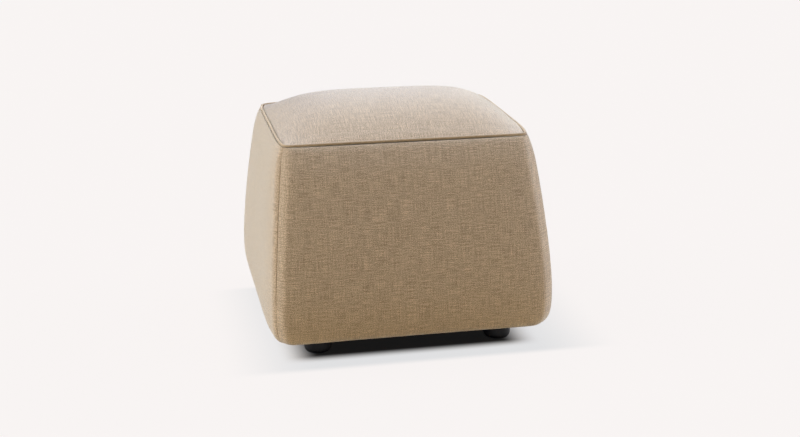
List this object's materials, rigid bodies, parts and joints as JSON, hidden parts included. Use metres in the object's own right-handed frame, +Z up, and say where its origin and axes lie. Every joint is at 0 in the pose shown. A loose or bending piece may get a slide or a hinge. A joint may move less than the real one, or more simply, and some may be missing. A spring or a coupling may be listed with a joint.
{
  "type": "glider ottoman",
  "caption": "Square padded ottoman with a crowned, piped top and tapered sides that glides on hanging links over a low base on round feet.",
  "frame": {"origin": "on the floor, under the middle of the ottoman's box", "axes": "+Z up, -Y towards the front face seen in the picture, +X to the right of that face; the seat glides along Y"},
  "size_m": [0.538, 0.544, 0.4395],
  "materials": {
    "upholstery_fabric": "woven linen look with slubs, matte",
    "piping_fabric": "the same woven fabric sewn round a cord, matte",
    "foam": "open-cell upholstery foam, matte",
    "plywood": "bare birch plywood",
    "black_steel": "satin black powder coat",
    "bare_steel": "bright zinc-plated steel",
    "black_plastic": "satin moulded plastic",
    "bearing_plastic": "natural acetal",
    "rubber": "matte black rubber"
  },
  "bodies": {
    "base": {"front_left_foot": "black_plastic", "front_right_foot": "black_plastic", "rear_left_foot": "black_plastic", "rear_right_foot": "black_plastic", "front_base_bar": "black_steel", "rear_base_bar": "black_steel", "left_runner": "black_steel", "right_runner": "black_steel", "front_left_post": "black_steel", "front_right_post": "black_steel", "rear_left_post": "black_steel", "rear_right_post": "black_steel", "front_cross_tube": "black_steel", "rear_cross_tube": "black_steel", "front_left_upper_pivot": "bare_steel", "front_right_upper_pivot": "bare_steel", "rear_left_upper_pivot": "bare_steel", "rear_right_upper_pivot": "bare_steel"},
    "front_left_link": {"front_left_link": "bare_steel", "front_left_upper_bearing": "bearing_plastic", "front_left_lower_bearing": "bearing_plastic"},
    "front_right_link": {"front_right_link": "bare_steel", "front_right_upper_bearing": "bearing_plastic", "front_right_lower_bearing": "bearing_plastic"},
    "rear_left_link": {"rear_left_link": "bare_steel", "rear_left_upper_bearing": "bearing_plastic", "rear_left_lower_bearing": "bearing_plastic"},
    "rear_right_link": {"rear_right_link": "bare_steel", "rear_right_upper_bearing": "bearing_plastic", "rear_right_lower_bearing": "bearing_plastic"},
    "seat": {"front_left_lower_pivot": "bare_steel", "front_left_stop": "rubber", "front_left_corner_block": "plywood", "front_right_lower_pivot": "bare_steel", "front_right_stop": "rubber", "front_right_corner_block": "plywood", "rear_left_lower_pivot": "bare_steel", "rear_left_stop": "rubber", "rear_left_corner_block": "plywood", "rear_right_lower_pivot": "bare_steel", "rear_right_stop": "rubber", "rear_right_corner_block": "plywood", "left_seat_rail": "black_steel", "right_seat_rail": "black_steel", "front_board": "plywood", "front_foam": "foam", "front_cover": "upholstery_fabric", "right_board": "plywood", "right_foam": "foam", "right_cover": "upholstery_fabric", "rear_board": "plywood", "rear_foam": "foam", "rear_cover": "upholstery_fabric", "left_board": "plywood", "left_foam": "foam", "left_cover": "upholstery_fabric", "deck_board": "plywood", "top_foam": "foam", "top_cover": "upholstery_fabric", "seam_piping": "piping_fabric"}
  },
  "joints": [
    {"name": "front_left_swing", "type": "hinge", "parent": "base", "child": "front_left_link", "pos_m": [-0.188, -0.1, 0.2], "axis": [1, 0, 0], "range_deg": [-20, 20]},
    {"name": "seat_glide", "type": "hinge", "parent": "front_left_link", "child": "seat", "pos_m": [-0.188, -0.1, 0.07], "axis": [1, 0, 0], "range_deg": [-20, 20]},
    {"name": "front_right_swing", "type": "hinge", "parent": "base", "child": "front_right_link", "pos_m": [0.188, -0.1, 0.2], "axis": [1, 0, 0], "range_deg": [-20, 20]},
    {"name": "rear_left_swing", "type": "hinge", "parent": "base", "child": "rear_left_link", "pos_m": [-0.188, 0.1, 0.2], "axis": [1, 0, 0], "range_deg": [-20, 20]},
    {"name": "rear_right_swing", "type": "hinge", "parent": "base", "child": "rear_right_link", "pos_m": [0.188, 0.1, 0.2], "axis": [1, 0, 0], "range_deg": [-20, 20]}
  ],
  "couplings": [
    {"joint": "seat_glide", "follows": "front_left_swing", "ratio": -1},
    {"joint": "front_right_swing", "follows": "front_left_swing", "ratio": 1},
    {"joint": "rear_left_swing", "follows": "front_left_swing", "ratio": 1},
    {"joint": "rear_right_swing", "follows": "front_left_swing", "ratio": 1}
  ]
}
